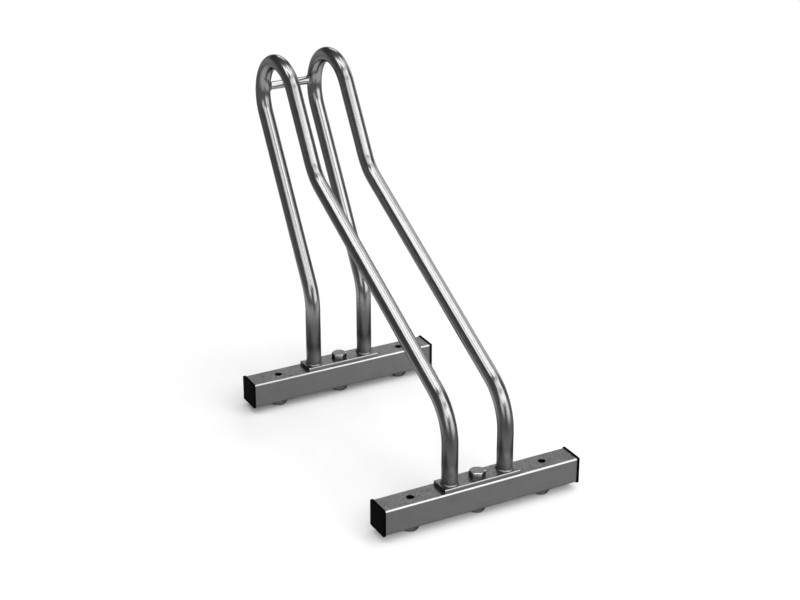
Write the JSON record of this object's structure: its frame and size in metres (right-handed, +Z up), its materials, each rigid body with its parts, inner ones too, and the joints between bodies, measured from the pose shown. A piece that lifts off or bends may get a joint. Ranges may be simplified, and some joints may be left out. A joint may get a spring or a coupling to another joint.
{
  "type": "floor bike stand",
  "caption": "Floor stand that holds a bicycle wheel between bent tube hoops on bolted square tube beams.",
  "frame": {"origin": "on the floor, at the centre of the rectangle of the four floor anchors, midway between the beams and between the hoops", "axes": "+X along the beams to the right, +Y from the entry side to the rear over which the hoops lean, +Z up"},
  "size_m": [0.288, 0.5715, 0.4815],
  "materials": {
    "hoop_steel": "bright drawn steel tube, satin, with fine lengthwise streaks",
    "beam_steel": "flat satin steel with fine lengthwise grain",
    "bolt_steel": "zinc plated steel, satin",
    "foot_steel": "dark oiled steel, satin",
    "weld_steel": "rippled weld bead, dull",
    "cap_plastic": "black moulded plastic, matte"
  },
  "bodies": {
    "root": {"left_hoop": "hoop_steel", "right_hoop": "hoop_steel", "cross_bar": "hoop_steel", "front_plate": "beam_steel", "rear_plate": "beam_steel", "front_beam": "beam_steel", "rear_beam": "beam_steel", "front_left_cap": "cap_plastic", "front_right_cap": "cap_plastic", "rear_left_cap": "cap_plastic", "rear_right_cap": "cap_plastic", "front_bolt": "bolt_steel", "rear_bolt": "bolt_steel", "front_nut": "foot_steel", "rear_nut": "foot_steel", "front_left_foot": "foot_steel", "front_right_foot": "foot_steel", "rear_left_foot": "foot_steel", "rear_right_foot": "foot_steel", "front_foot_welds": "weld_steel", "rear_foot_welds": "weld_steel", "cross_bar_welds": "weld_steel"}
  },
  "joints": []
}
